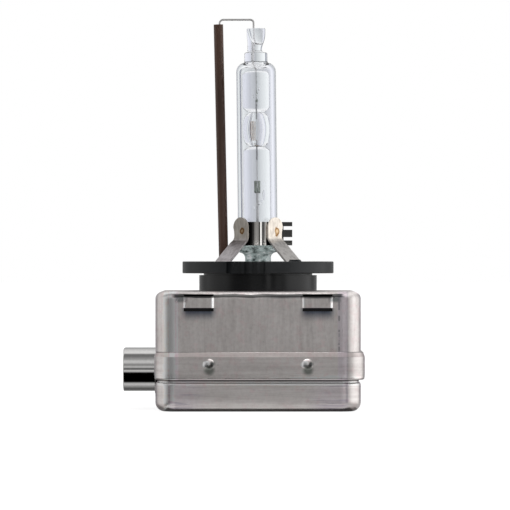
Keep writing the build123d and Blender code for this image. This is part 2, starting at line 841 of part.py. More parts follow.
with BuildPart() as busbars:
    with BuildSketch(Plane.XY.offset(busbar_bottom_z)):
        for row_y in busbar_rows:
            with Locations((busbar_x, row_y)):
                SlotOverall(busbar_length, busbar_width)
    extrude(amount=busbar_thickness)
busbars.part.label = "busbars"
export_step(busbars.part, "parts/busbars.step")

with BuildPart() as potting_compound:
    with BuildSketch(Plane.XY.offset(housing_bottom_z)):
        RectangleRounded(2 * housing_inner, 2 * housing_inner, housing_corner - housing_wall)
    extrude(amount=busbar_bottom_z - housing_bottom_z)
potting_compound.part.label = "potting_compound"
export_step(potting_compound.part, "parts/potting_compound.step")

# ---------------------------------------------------------------- ignition transformer
core_section = Plane(origin=(core_x, 0, core_z), x_dir=(1, 0, 0), z_dir=(0, -1, 0))
with BuildPart() as transformer_core:
    with BuildSketch(core_section):
        Circle(core_radius)
    extrude(amount=core_half_length, both=True)
    chamfer(transformer_core.edges().filter_by(GeomType.CIRCLE), length=core_chamfer)
transformer_core.part.label = "transformer_core"
export_step(transformer_core.part, "parts/transformer_core.step")

flange_pitch = (2 * bobbin_half_length - bobbin_flange_thickness) / (bobbin_flanges - 1)
flange_places = [
    -bobbin_half_length + index * flange_pitch for index in range(bobbin_flanges)
]
with BuildPart() as coil_bobbin:
    with BuildSketch(core_section):
        Circle(bobbin_tube_radius)
    extrude(amount=bobbin_half_length, both=True)
    for place in flange_places:
        with BuildSketch(core_section.offset(place)):
            Circle(bobbin_flange_radius)
        extrude(amount=bobbin_flange_thickness)
    with BuildSketch(core_section):
        Circle(core_radius)
    extrude(amount=core_half_length, both=True, mode=Mode.SUBTRACT)
coil_bobbin.part.label = "coil_bobbin"
export_step(coil_bobbin.part, "parts/coil_bobbin.step")

with BuildPart() as secondary_winding:
    for place in flange_places[:-1]:
        with BuildSketch(core_section.offset(place + bobbin_flange_thickness)):
            Circle(secondary_radius)
            Circle(bobbin_tube_radius, mode=Mode.SUBTRACT)
        extrude(amount=flange_pitch - bobbin_flange_thickness)
secondary_winding.part.label = "secondary_winding"
export_step(secondary_winding.part, "parts/secondary_winding.step")

# flat copper turns around the bobbin's flanges, open at the bottom where their ends join the busbars
with BuildPart() as primary_winding:
    for turn in range(primary_turns):
        turn_place = flange_places[turn] + (bobbin_flange_thickness - primary_width) / 2
        with BuildSketch(core_section.offset(turn_place)):
            Circle(primary_radius)
            Circle(bobbin_flange_radius, mode=Mode.SUBTRACT)
            with Locations((0, -primary_radius)):
                Rectangle(primary_gap_width, primary_radius, mode=Mode.SUBTRACT)
        extrude(amount=primary_width)
primary_winding.part.label = "primary_winding"
export_step(primary_winding.part, "parts/primary_winding.step")

# ---------------------------------------------------------------- high-voltage contact, return terminal
strap_right_x = core_x - secondary_radius + strap_bite
with BuildPart() as hv_contact:
    with BuildSketch(Plane.XY.offset(contact_bottom_z)):
        Circle(contact_radius)
    extrude(amount=contact_top_z - contact_bottom_z)
    with BuildSketch(Plane.XY.offset(core_z)):
        with Locations((strap_left_x, 0)):
            Rectangle(strap_thickness, -2 * strap_near_y, align=(Align.MIN, Align.CENTER))
    extrude(amount=contact_bottom_z - core_z)
    with BuildSketch(Plane.XY.offset(core_z - strap_thickness / 2)):
        with BuildLine():
            Polyline(
                (strap_left_x, strap_near_y),
                (strap_turn_x, strap_near_y),
                (strap_turn_x, strap_low_y),
                (strap_right_x, strap_low_y),
                (strap_right_x, strap_high_y),
                (strap_left_x, strap_high_y),
                close=True,
            )
        make_face()
    extrude(amount=strap_thickness)
    add(secondary_winding.part, mode=Mode.SUBTRACT)
    add(lower_lead.part, mode=Mode.SUBTRACT)
hv_contact.part.label = "hv_contact"
export_step(hv_contact.part, "parts/hv_contact.step")

terminal_x = tube_x(wire_bottom_z)
terminal_low_z = wire_bottom_z - terminal_below_wire_end
with BuildPart() as return_terminal:
    with BuildSketch(Plane.XY.offset(terminal_low_z)):
        with Locations((terminal_x, 0)):
            Circle(terminal_radius)
    extrude(amount=terminal_above_wire_end + terminal_below_wire_end)
    with BuildSketch(Plane.XY.offset(carrier_top_z)):
        with Locations((terminal_x, 0)):
            Rectangle(*terminal_blade)
    extrude(amount=terminal_low_z - carrier_top_z)
    add(return_wire.part, mode=Mode.SUBTRACT)
return_terminal.part.label = "return_terminal"
export_step(return_terminal.part, "parts/return_terminal.step")

# ---------------------------------------------------------------- spark gap, capacitor, resistor
gap_section = Plane(origin=gap_centre, x_dir=(0, 1, 0), z_dir=(1, 0, 0))
with BuildPart() as spark_gap_body:
    with BuildSketch(gap_section):
        Circle(gap_outer_radius)
        Circle(gap_inner_radius, mode=Mode.SUBTRACT)
    extrude(amount=gap_half_length, both=True)
spark_gap_body.part.label = "spark_gap_body"
export_step(spark_gap_body.part, "parts/spark_gap_body.step")

gap_x, gap_y, gap_z = gap_centre
with BuildPart() as spark_gap_caps:
    for side in (-1, 1):
        with BuildSketch(gap_section.offset(side * gap_half_length)):
            Circle(gap_cap_radius)
        extrude(amount=side * gap_cap_thickness)
        with BuildSketch(gap_section.offset(side * gap_half_length)):
            Circle(gap_electrode_radius)
        extrude(amount=-side * gap_electrode_length)
        with BuildSketch(Plane.XY.offset(carrier_top_z)):
            with Locations((gap_x + side * gap_lead_offset, gap_y)):
                Circle(gap_lead_radius)
        extrude(amount=gap_z - carrier_top_z)
spark_gap_caps.part.label = "spark_gap_caps"
export_step(spark_gap_caps.part, "parts/spark_gap_caps.step")

with BuildPart() as ignition_capacitor:
    with BuildSketch(Plane.XY.offset(carrier_top_z)):
        with Locations(capacitor_centre):
            RectangleRounded(capacitor_length, capacitor_width, capacitor_corner)
    extrude(amount=capacitor_height)
    fillet(ignition_capacitor.faces().sort_by(Axis.Z)[-1].edges(), radius=capacitor_round)
ignition_capacitor.part.label = "ignition_capacitor"
export_step(ignition_capacitor.part, "parts/ignition_capacitor.step")

resistor_x, resistor_y, resistor_z = resistor_centre
with BuildPart() as bleed_resistor:
    with BuildSketch(Plane(origin=resistor_centre, x_dir=(1, 0, 0), z_dir=(0, 1, 0))):
        Circle(resistor_radius)
    extrude(amount=resistor_half_length, both=True)
    fillet(bleed_resistor.edges().filter_by(GeomType.CIRCLE), radius=resistor_round)
    for side in (-1, 1):
        lead_y = resistor_y + side * resistor_lead_reach
        with BuildLine(Plane.YZ.offset(resistor_x)):
            lead_path = FilletPolyline(
                (resistor_y + side * (resistor_half_length - resistor_round / 2), resistor_z),
                (lead_y, resistor_z),
                (lead_y, carrier_top_z),
                radius=resistor_lead_bend,
            )
        with BuildSketch(Plane(origin=lead_path @ 0, z_dir=lead_path % 0)):
            Circle(resistor_lead_radius)
        sweep(path=lead_path)
bleed_resistor.part.label = "bleed_resistor"
export_step(bleed_resistor.part, "parts/bleed_resistor.step")
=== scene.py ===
import math

import bmesh
import bpy
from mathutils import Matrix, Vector


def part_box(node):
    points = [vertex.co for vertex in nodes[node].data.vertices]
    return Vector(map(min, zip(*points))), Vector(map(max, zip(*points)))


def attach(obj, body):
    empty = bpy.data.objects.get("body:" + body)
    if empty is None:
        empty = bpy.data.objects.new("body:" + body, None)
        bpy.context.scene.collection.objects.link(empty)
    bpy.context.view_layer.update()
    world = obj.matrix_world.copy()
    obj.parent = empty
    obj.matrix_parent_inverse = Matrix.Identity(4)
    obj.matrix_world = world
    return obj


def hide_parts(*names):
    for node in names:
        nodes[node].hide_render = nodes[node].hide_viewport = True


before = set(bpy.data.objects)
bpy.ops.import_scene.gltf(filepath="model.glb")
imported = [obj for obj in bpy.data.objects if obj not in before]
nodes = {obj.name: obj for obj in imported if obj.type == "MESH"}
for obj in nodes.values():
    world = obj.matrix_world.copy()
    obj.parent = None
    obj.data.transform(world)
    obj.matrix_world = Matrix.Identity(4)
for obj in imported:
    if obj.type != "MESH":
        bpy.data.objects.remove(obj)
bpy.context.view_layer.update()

MM = 0.001
FLOOR_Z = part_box("shield_cover")[0].z

# the burner leans a little towards -X about the frame's origin
LEAN = math.radians(0.6)
BURNER_UP = Vector((-math.sin(LEAN), 0, math.cos(LEAN)))
BURNER_SIDE = Vector((math.cos(LEAN), 0, math.sin(LEAN)))

# burner, in millimetres along its own axis
BULB_RADIUS = 4.185
BULB_WALL = 0.95
STEM_RADIUS = 2.95
CHAMBER_Z = 27.93
CHAMBER_RADIUS = 2.95
CHAMBER_HALF = 5.6
PINCH_AWAY = 3.65
PINCH_DEPTH = 0.62
NECK_Z = 2.7
CAVITY_RADIUS = 1.4
CAVITY_HALF = 3.6

# marks on the sheet-metal box, in millimetres
GROOVE_Z = -7.0
CREASE_AT = 16.75
# spans along X and tint of the painted highlight and painted shade where the front corners start to turn
LIT_CORNER_SPAN = (-19.3, -17.6)
CORNER_HIGHLIGHT_TINT = (1.34, 1.33, 1.3)
SHADED_CORNER_SPAN = (16.9, 18.6)
TAB_X = 12.3
TAB_HALF = 3.1
DETENT_X = 10.2
DETENT_Z = -21.3
BAND_Z = -18.75


# ---------------------------------------------------------------- camera
VIEW_WIDTH = 108.05
CAMERA_DISTANCE = 900
CAMERA_X = -0.64
CAMERA_Z = 1.36
SENSOR_WIDTH = 36


def add_camera():
    """A long lens level with the cap; VIEW_WIDTH is what it sees across at the lamp's axis."""
    data = bpy.data.cameras.new("camera")
    data.sensor_width = SENSOR_WIDTH
    data.lens = SENSOR_WIDTH * CAMERA_DISTANCE / VIEW_WIDTH
    data.clip_start = 0.01
    data.clip_end = 50
    camera = bpy.data.objects.new("camera", data)
    camera.location = (CAMERA_X * MM, -CAMERA_DISTANCE * MM, CAMERA_Z * MM)
    camera.rotation_euler = (math.radians(90), 0, 0)
    bpy.context.scene.collection.objects.link(camera)
    bpy.context.scene.camera = camera
    bpy.context.scene.view_settings.view_transform = "Standard"


# ---------------------------------------------------------------- node helpers
class Shader:
    """A material's node tree, with short ways to add and join nodes."""

    def __init__(self, tree):
        self.tree = tree

    def node(self, kind, **values):
        """Add a node and set its properties."""
        made = self.tree.nodes.new(kind)
        for key, value in values.items():
            setattr(made, key, value)
        return made

    def link(self, source, target):
        """Join an output to an input."""
        self.tree.links.new(source, target)

    def value(self, operation, a, b=None):
        """A Math node; a and b are sockets or numbers."""
        made = self.node("ShaderNodeMath", operation=operation)
        for socket, item in zip(made.inputs, (a, b)):
            if item is None:
                continue
            if isinstance(item, (int, float)):
                socket.default_value = item
            else:
                self.link(item, socket)
        return made.outputs[0]

    def ramp(self, factor, stops, smooth=False):
        """A colour ramp over stops of (position, colour or grey)."""
        made = self.node("ShaderNodeValToRGB")
        if smooth:
            made.color_ramp.interpolation = "EASE"
        elements = made.color_ramp.elements
        while len(elements) < len(stops):
            elements.new(0.5)
        for element, (position, colour) in zip(elements, sorted(stops, key=lambda s: s[0])):
            element.position = position
            if isinstance(colour, (int, float)):
                colour = (colour, colour, colour)
            element.color = (*colour, 1)
        self.link(factor, made.inputs["Fac"])
        return made.outputs["Color"]

    def noise(self, scale, detail=3, stretch=(1, 1, 1), roughness=0.5, distortion=0):
        """Noise in the object's own coordinates; scale is features per metre."""
        where = self.node("ShaderNodeTexCoord").outputs["Object"]
        mapping = self.node("ShaderNodeMapping")
        mapping.inputs["Scale"].default_value = stretch
        self.link(where, mapping.inputs["Vector"])
        made = self.node("ShaderNodeTexNoise")
        made.inputs["Scale"].default_value = scale
        made.inputs["Detail"].default_value = detail
        made.inputs["Roughness"].default_value = roughness
        made.inputs["Distortion"].default_value = distortion
        self.link(mapping.outputs[0], made.inputs["Vector"])
        return made.outputs["Fac"]

    def mix(self, factor, a, b):
        """Mix two colours by a factor socket or number."""
        made = self.node("ShaderNodeMix", data_type="RGBA")
        for socket, item in ((made.inputs[0], factor), (made.inputs[6], a), (made.inputs[7], b)):
            if isinstance(item, (int, float)):
                socket.default_value = item
            elif isinstance(item, tuple):
                socket.default_value = (*item, 1)
            else:
                self.link(item, socket)
        return made.outputs[2]

    def bump(self, height, strength, distance):
        """A normal from a height; distance is in metres."""
        made = self.node("ShaderNodeBump")
        made.inputs["Strength"].default_value = strength
        made.inputs["Distance"].default_value = distance
        self.link(height, made.inputs["Height"])
        return made.outputs["Normal"]

    def vector(self, operation, a, b=None):
        """A Vector Math node; b is a constant."""
        made = self.node("ShaderNodeVectorMath", operation=operation)
        self.link(a, made.inputs[0])
        if b is not None:
            made.inputs[1].default_value = b
        return made.outputs["Value" if operation == "LENGTH" else "Vector"]

    def place(self):
        """The object's own X, Y and Z, in millimetres."""
        where = self.node("ShaderNodeTexCoord").outputs["Object"]
        split = self.node("ShaderNodeSeparateXYZ")
        self.link(where, split.inputs[0])
        return [self.value("MULTIPLY", split.outputs[axis], 1 / MM) for axis in "XYZ"]

    def window(self, value, low, high, soft):
        """1 where a value lies between two limits, fading over a soft margin outside them."""
        rising = self.smooth(value, low - soft, low)
        falling = self.smooth(value, high, high + soft)
        return self.value("SUBTRACT", rising, falling)

    def smooth(self, value, start, end):
        """0 before start, 1 after end, and smooth between them."""
        made = self.node("ShaderNodeMapRange", interpolation_type="SMOOTHSTEP")
        self.link(value, made.inputs["Value"])
        made.inputs["From Min"].default_value = start
        made.inputs["From Max"].default_value = end
        return made.outputs["Result"]

    def both(self, *masks):
        """Where all of the masks are."""
        made = masks[0]
        for mask in masks[1:]:
            made = self.value("MULTIPLY", made, mask)
        return made

    def shade(self, colour, mask, tint):
        """Multiply a colour by a tint where a mask is."""
        made = self.node("ShaderNodeMix", data_type="RGBA", blend_type="MULTIPLY")
        self.link(mask, made.inputs[0])
        self.link(colour, made.inputs[6])
        made.inputs[7].default_value = (*tint, 1)
        return made.outputs[2]

    def distance(self, place, scale):
        """How far from a place in millimetres, mirrored about X = 0 and Y = 0, in scaled units."""
        where = self.node("ShaderNodeTexCoord").outputs["Object"]
        folded = self.vector("ABSOLUTE", where)
        offset = self.vector("SUBTRACT", folded, [item * MM for item in place])
        return self.vector("LENGTH", self.vector("MULTIPLY", offset, [item / MM for item in scale]))


def new_material(name, **settings):
    """A Principled material; settings are constants for its sockets."""
    material = bpy.data.materials.new(name)
    material.use_nodes = True
    shader = Shader(material.node_tree)
    bsdf = material.node_tree.nodes["Principled BSDF"]
    for key, value in settings.items():
        bsdf.inputs[key.replace("_", " ").title().replace("Ior", "IOR")].default_value = value
    return material, shader, bsdf


def sheet_tones(shader, tone, spots):
    """The warm grey of tinned sheet with its faint pink and green mottle."""
    colour = shader.ramp(tone, [(0.36, (0.70, 0.65, 0.63)), (0.64, (1.0, 0.95, 0.93))])
    patches = shader.noise(420, detail=3, roughness=0.7)
    colour = shader.shade(colour, shader.smooth(patches, 0.5, 0.68), (1.0, 0.94, 0.95))
    return shader.shade(colour, shader.smooth(spots, 0.56, 0.72), (0.95, 0.97, 0.96))


def finish_sheet(shader, bsdf, colour, spots, relief, strength=0.3):
    """Join colour, satin roughness and relief to the sheet's Principled node."""
    shader.link(colour, bsdf.inputs["Base Color"])
    shader.link(shader.ramp(spots, [(0.25, 0.27), (0.75, 0.41)]), bsdf.inputs["Roughness"])
    shader.link(shader.bump(relief, strength, 0.00005), bsdf.inputs["Normal"])


def can_sheet(name):
    """Upper can: upright grain, then level streaks on the band, with the marks that pressing leaves drawn in
    painted shade and painted highlight.

    The tones at the corners, under and beside the tabs and round the domes are painted to follow the
    light in the reference, so they stay under any other light.
    """
    material, shader, bsdf = new_material(name, metallic=1.0)
    x, y, z = shader.place()
    across = shader.value("MINIMUM", shader.value("ABSOLUTE", x), shader.value("ABSOLUTE", y))
    upright = shader.noise(1100, detail=4, stretch=(1, 1, 0.12), roughness=0.62)
    level = shader.noise(1300, detail=4, stretch=(0.045, 0.045, 1), roughness=0.7)
    spots = shader.noise(1300, detail=4, roughness=0.7)
    cloud = shader.noise(110, detail=3)
    wave = shader.noise(140, detail=2)
    on_band = shader.smooth(z, BAND_Z + 0.2, BAND_Z - 0.2)
    grain = shader.node("ShaderNodeMix", data_type="FLOAT")
    for socket, item in zip((grain.inputs[0], grain.inputs[2], grain.inputs[3]), (on_band, upright, level)):
        shader.link(item, socket)
    grain = grain.outputs[0]
    tone = shader.value("ADD", shader.value("MULTIPLY", grain, 0.45), shader.value("MULTIPLY", spots, 0.35))
    tone = shader.value("ADD", tone, shader.value("MULTIPLY", cloud, 0.2))
    colour = sheet_tones(shader, tone, spots)
    # the painted corner tones, the painted shade of the pressed lines and the painted shade beside the tabs
    # belong to the front and back, where the tabs are
    tab_faces = shader.smooth(shader.value("ABSOLUTE", y), 19, 20)
    # painted lilac sheen: the sheet is lightened beyond the pressed lines near the corners
    colour = shader.shade(colour, shader.window(across, CREASE_AT, 18.2, 0.5), (1.14, 1.11, 1.18))
    # painted highlight where the corner towards the connector starts to turn, painted shade on the other
    # corner
    corner_highlight = shader.both(shader.window(x, *LIT_CORNER_SPAN, 0.7), tab_faces)
    colour = shader.shade(colour, corner_highlight, CORNER_HIGHLIGHT_TINT)
    corner_shade = shader.both(shader.window(x, *SHADED_CORNER_SPAN, 0.7), tab_faces)
    colour = shader.shade(colour, corner_shade, (0.84, 0.84, 0.85))
    # painted shade of the groove that runs below the top edge, wavier near the tabs
    ripple = shader.value("MULTIPLY", shader.value("SUBTRACT", wave, 0.5), 0.6)
    groove_z = shader.value("ADD", z, ripple)
    groove = shader.both(
        shader.window(groove_z, GROOVE_Z - 0.34, GROOVE_Z + 0.16, 0.22),
        shader.smooth(across, 18.4, 17.0),
    )
    colour = shader.shade(colour, groove, (0.1, 0.105, 0.105))
    # the groove's painted shade is darker and wider on the side away from the connector
    darker_groove_shade = shader.both(
        shader.window(groove_z, GROOVE_Z - 0.55, GROOVE_Z + 0.05, 0.25),
        shader.smooth(across, 18.4, 17.0),
        shader.smooth(x, 0, 3),
    )
    colour = shader.shade(colour, darker_groove_shade, (0.6, 0.61, 0.62))
    # a painted dark line where the face turns into the corner
    colour = shader.shade(colour, shader.window(across, 18.4, 18.5, 0.25), (0.84, 0.84, 0.86))
    # pressed lines beside the corners, drawn in colour only: a painted highlight on the left line and painted
    # shade, broken up along its length, on the right line
    broken = shader.noise(900, detail=2, stretch=(0.1, 0.1, 1))
    crease = shader.both(
        shader.window(across, CREASE_AT - 0.05, CREASE_AT + 0.05, 0.14),
        shader.window(z, BAND_Z + 0.4, -8.6, 0.8),
    )
    painted_crease_highlight_side = shader.smooth(x, 0.5, -0.5)
    colour = shader.shade(colour, shader.both(crease, painted_crease_highlight_side), (1.25, 1.25, 1.25))
    painted_crease_shade = shader.both(crease, shader.smooth(x, -0.5, 0.5), shader.smooth(broken, 0.4, 0.52))
    painted_crease_shade = shader.both(painted_crease_shade, tab_faces)
    colour = shader.shade(colour, painted_crease_shade, (0.42, 0.44, 0.44))
    # a dent in the relief with a painted shadow under each tab, and a small painted shade between tab and
    # corner
    from_tab = shader.value("ABSOLUTE", shader.value("SUBTRACT", shader.value("ABSOLUTE", x), TAB_X))
    below_tab = shader.both(shader.smooth(z, -12.7, -10.1), shader.smooth(z, -9.5, -9.7))
    under = shader.both(shader.window(from_tab, -1, 2.3, 1.7), below_tab)
    colour = shader.shade(colour, under, (0.15, 0.19, 0.26))
    beside = shader.both(
        shader.window(across, 15.2, 16.6, 0.9),
        shader.window(groove_z, -8.1, -7.6, 0.7),
        shader.smooth(spots, 0.36, 0.5),
    )
    beside = shader.both(beside, tab_faces)
    colour = shader.shade(colour, beside, (0.4, 0.44, 0.45))
    # painted highlight along the cut ends of each tab
    tab_end_highlight = shader.both(
        shader.window(from_tab, TAB_HALF - 0.42, TAB_HALF + 0.02, 0.06),
        shader.window(z, -9.9, -7.0, 0.15),
    )
    colour = shader.shade(colour, tab_end_highlight, (1.3, 1.3, 1.3))
    # pressed ledge and curled edge of the band: slight painted shade on the ledge, a painted shadow line
    # above it, a painted highlight along the curl, and painted shade under the band
    ledge = shader.window(z, -19.7, -18.95, 0.1)
    colour = shader.shade(colour, ledge, (0.92, 0.88, 0.88))
    colour = shader.shade(colour, shader.window(z, -18.86, -18.72, 0.08), (0.62, 0.62, 0.62))
    curl = shader.both(shader.window(z, -24.15, -23.5, 0.3), shader.smooth(level, 0.42, 0.6))
    colour = shader.shade(colour, curl, (1.22, 1.22, 1.22))
    colour = shader.shade(colour, shader.window(z, -26, -24.5, 0.08), (0.25, 0.25, 0.25))
    # each detent dome sits in a shallow dished ring in the relief, with a painted shadow below it, painted
    # shade on its right and a painted highlight on its left
    beyond = shader.value("SUBTRACT", x, shader.value("MULTIPLY", shader.value("SIGN", x), DETENT_X))
    front_and_back = shader.smooth(shader.value("ABSOLUTE", y), 21.0, 21.6)

    def around_dome(shift_x, shift_z, full, gone):
        """A round mask near each dome, shifted by millimetres."""
        offset = shader.node("ShaderNodeCombineXYZ")
        shader.link(shader.value("SUBTRACT", beyond, shift_x), offset.inputs["X"])
        shader.link(shader.value("SUBTRACT", z, DETENT_Z + shift_z), offset.inputs["Z"])
        near = shader.smooth(shader.vector("LENGTH", offset.outputs[0]), gone, full)
        return shader.both(near, front_and_back)

    dished = around_dome(0.1, -1.2, 0.5, 1.5)
    colour = shader.shade(colour, dished, (0.36, 0.4, 0.38))
    colour = shader.shade(colour, around_dome(0.75, 0.1, 0.25, 0.75), (0.12, 0.13, 0.13))
    colour = shader.shade(colour, around_dome(-0.55, 0, 0.5, 0.95), (1.9, 1.9, 1.9))
    relief = shader.value("ADD", shader.value("MULTIPLY", grain, 0.6), shader.value("MULTIPLY", spots, 0.5))
    relief = shader.value("ADD", relief, shader.value("MULTIPLY", under, 1.5))
    relief = shader.value("SUBTRACT", relief, shader.value("MULTIPLY", dished, 3))
    finish_sheet(shader, bsdf, colour, spots, relief)
    return material


def cover_sheet(name):
    """Lower cover: level streaks, stronger and bluer towards the corners."""
    material, shader, bsdf = new_material(name, metallic=1.0)
    x, y, z = shader.place()
    across = shader.value("MINIMUM", shader.value("ABSOLUTE", x), shader.value("ABSOLUTE", y))
    level = shader.noise(1100, detail=4, stretch=(0.04, 0.04, 1), roughness=0.7)
    spots = shader.noise(1300, detail=4, roughness=0.7)
    cloud = shader.noise(110, detail=3)
    tone = shader.value("ADD", shader.value("MULTIPLY", level, 0.55), shader.value("MULTIPLY", spots, 0.25))
    tone = shader.value("ADD", tone, shader.value("MULTIPLY", cloud, 0.2))
    colour = sheet_tones(shader, tone, spots)
    # its corner towards the connector has the same painted highlight
    corner_faces = shader.smooth(shader.value("ABSOLUTE", y), 18, 19)
    corner_highlight = shader.both(shader.window(x, *LIT_CORNER_SPAN, 0.7), corner_faces)
    colour = shader.shade(colour, corner_highlight, CORNER_HIGHLIGHT_TINT)
    ends = shader.both(shader.smooth(across, 9, 15), shader.smooth(across, 19.2, 18.0))
    scratches = shader.noise(1500, detail=3, stretch=(0.05, 0.05, 1), roughness=0.5)
    colour = shader.shade(colour, shader.both(ends, shader.smooth(scratches, 0.5, 0.58)), (0.74, 0.73, 0.78))
    colour = shader.shade(colour, ends, (1.0, 0.98, 1.03))
    # a painted dark line where the face turns into the corner
    edge_of_face_shade = shader.both(shader.window(across, 18.35, 18.5, 0.25), shader.smooth(z, -29.6, -29.0))
    colour = shader.shade(colour, edge_of_face_shade, (0.72, 0.72, 0.75))
    # painted highlight along the cover's shoulder below the band
    colour = shader.shade(colour, shader.window(z, -25.6, -24.95, 0.2), (1.3, 1.28, 1.28))
    # painted shade where the cover is hidden up inside the band
    colour = shader.shade(colour, shader.window(z, -24.8, -20, 0.1), (0.3, 0.3, 0.3))
    relief = shader.value("ADD", shader.value("MULTIPLY", level, 0.7), shader.value("MULTIPLY", spots, 0.4))
    finish_sheet(shader, bsdf, colour, spots, relief)
    return material


def plain_plastic(name, dark, light, roughness, grain=1600, strength=0.15):
    """Moulded plastic with a fine spark-eroded grain."""
    material, shader, bsdf = new_material(name)
    spots = shader.noise(grain, detail=3, roughness=0.6)
    cloud = shader.noise(120, detail=3)
    shader.link(shader.ramp(cloud, [(0.3, dark), (0.7, light)]), bsdf.inputs["Base Color"])
    shader.link(
        shader.ramp(cloud, [(0.3, roughness - 0.05), (0.7, roughness + 0.06)]),
        bsdf.inputs["Roughness"],
    )
    shader.link(shader.bump(spots, strength, 0.00003), bsdf.inputs["Normal"])
    return material


def cap_moulding(name):
    """Glass-filled black plastic, glossier on the flange than on the collar under it."""
    material, shader, bsdf = new_material(name)
    bsdf.inputs["Specular IOR Level"].default_value = 0.4
    z = shader.place()[2]
    collar = shader.smooth(z, -2.5, -2.8)
    spots = shader.noise(1600, detail=3, roughness=0.6)
    cloud = shader.noise(160, detail=4, roughness=0.6)
    colour = shader.ramp(cloud, [(0.3, (0.010, 0.0125, 0.0145)), (0.7, (0.018, 0.021, 0.024))])
    # painted shade: the collar under the flange is darkened
    colour = shader.shade(colour, collar, (0.2, 0.2, 0.22))
    shader.link(colour, bsdf.inputs["Base Color"])
    gloss = shader.value("ADD", shader.value("MULTIPLY", cloud, 0.2), 0.22)
    roughness = shader.value("SUBTRACT", gloss, shader.value("MULTIPLY", collar, 0.12))
    shader.link(roughness, bsdf.inputs["Roughness"])
    shader.link(shader.bump(spots, 0.15, 0.00003), bsdf.inputs["Normal"])
    return material


def bare_metal(name, dark, light, roughness, stretch=(1, 1, 1), scale=1500, strength=0.15):
    """Drawn or rolled metal with fine lines along its length."""
    material, shader, bsdf = new_material(name, metallic=1.0)
    lines = shader.noise(scale, detail=4, stretch=stretch, roughness=0.6)
    shader.link(shader.ramp(lines, [(0.3, dark), (0.7, light)]), bsdf.inputs["Base Color"])
    shader.link(
        shader.ramp(lines, [(0.3, max(0.02, roughness - 0.04)), (0.7, roughness + 0.05)]),
        bsdf.inputs["Roughness"],
    )
    shader.link(shader.bump(lines, strength, 0.00002), bsdf.inputs["Normal"])
    return material


def leg_steel(name, weld, head, foot, smear):
    """Satin spring steel, with the brown ring of a spot weld around one place in millimetres; the head and
    foot tones are painted light and shade.
    """
    material, shader, bsdf = new_material(name, metallic=1.0)
    z = shader.place()[2]
    lines = shader.noise(1500, detail=4, stretch=(1, 1, 0.3), roughness=0.6)
    cloud = shader.noise(700, detail=4, roughness=0.6)
    # painted light and shade: the head and the foot each get their own tone
    steel = shader.mix(shader.smooth(z, 3.6, 5.4), foot, head)
    steel = shader.shade(steel, shader.smooth(lines, 0.6, 0.35), (0.72, 0.71, 0.71))
    wander = shader.value("MULTIPLY", shader.value("SUBTRACT", cloud, 0.5), smear)
    away = shader.value("ADD", shader.distance(weld, (1 / 0.95, 1 / 0.95, 1 / 0.95)), wander)
    ring = shader.ramp(away, [
        (0.0, (0.95, 0.8, 0.6)), (0.3, (0.75, 0.55, 0.33)), (0.5, (0.3, 0.15, 0.06)),
        (0.68, (0.45, 0.27, 0.13)), (0.82, (1, 0.97, 0.92)), (1.0, (1, 1, 1)),
    ])
    tinted = shader.node("ShaderNodeMix", data_type="RGBA", blend_type="MULTIPLY")
    tinted.inputs[0].default_value = 1.0
    shader.link(steel, tinted.inputs[6])
    shader.link(ring, tinted.inputs[7])
    shader.link(tinted.outputs[2], bsdf.inputs["Base Color"])
    shader.link(shader.ramp(cloud, [(0.3, 0.27), (0.7, 0.4)]), bsdf.inputs["Roughness"])
    shader.link(shader.bump(shader.value("ADD", lines, away), 0.3, 0.00004), bsdf.inputs["Normal"])
    return material


# Painted grey of the clamp ring's front from left to right, (millimetres along X, grey). It follows
# the reflections seen in the reference and stays under any other light.
RING_STRIPES = [
    (-2.3, 0.02), (-1.3, 0.03), (-1.2, 0.16), (-0.9, 0.2), (-0.8, 0.95), (0.1, 1.0), (0.2, 0.1),
    (0.38, 0.12), (0.46, 1.0), (0.8, 1.0), (0.88, 0.06), (1.1, 0.08), (1.2, 1.0), (1.8, 1.0), (1.95, 0.02),
]


def ring_steel(name):
    """Bright drawn steel with painted reflections in dark and bright stripes across its front; the ear's cut
    teeth are painted dark, painted shade.
    """
    material, shader, bsdf = new_material(name, metallic=1.0)
    x, y = shader.place()[:2]
    lines = shader.noise(1500, detail=3, stretch=(1, 1, 0.02), roughness=0.6)
    bright = shader.ramp(lines, [(0.3, (0.74, 0.71, 0.67)), (0.7, (0.95, 0.93, 0.9))])
    # painted reflections across the ring's front
    low, high = RING_STRIPES[0][0] - 0.5, RING_STRIPES[-1][0] + 0.5
    along = shader.value("DIVIDE", shader.value("SUBTRACT", x, low), high - low)
    stripes = shader.ramp(along, [((at - low) / (high - low), grey) for at, grey in RING_STRIPES])
    striped = shader.node("ShaderNodeMix", data_type="RGBA", blend_type="MULTIPLY")
    shader.link(shader.smooth(y, -3.6, -4.2), striped.inputs[0])
    shader.link(bright, striped.inputs[6])
    shader.link(stripes, striped.inputs[7])
    # painted shade: the ear's cut teeth are dark
    ear = shader.value("GREATER_THAN", x, 5.05)
    shader.link(shader.mix(ear, striped.outputs[2], (0.13, 0.13, 0.125)), bsdf.inputs["Base Color"])
    shader.link(shader.ramp(lines, [(0.3, 0.06), (0.7, 0.12)]), bsdf.inputs["Roughness"])
    shader.link(shader.bump(lines, 0.2, 0.00002), bsdf.inputs["Normal"])
    return material


def quartz(name, tint):
    """Clear fused quartz with faint drawing lines."""
    material, shader, bsdf = new_material(name, roughness=0.0, ior=1.46)
    bsdf.inputs["Transmission Weight"].default_value = 1.0
    lines = shader.noise(500, detail=2, stretch=(1, 1, 0.03))
    colour = shader.ramp(lines, [(0.3, tint), (0.7, (1, 1, 1))])
    shader.link(colour, bsdf.inputs["Base Color"])
    shader.link(shader.bump(lines, 0.05, 0.00001), bsdf.inputs["Normal"])
    return material


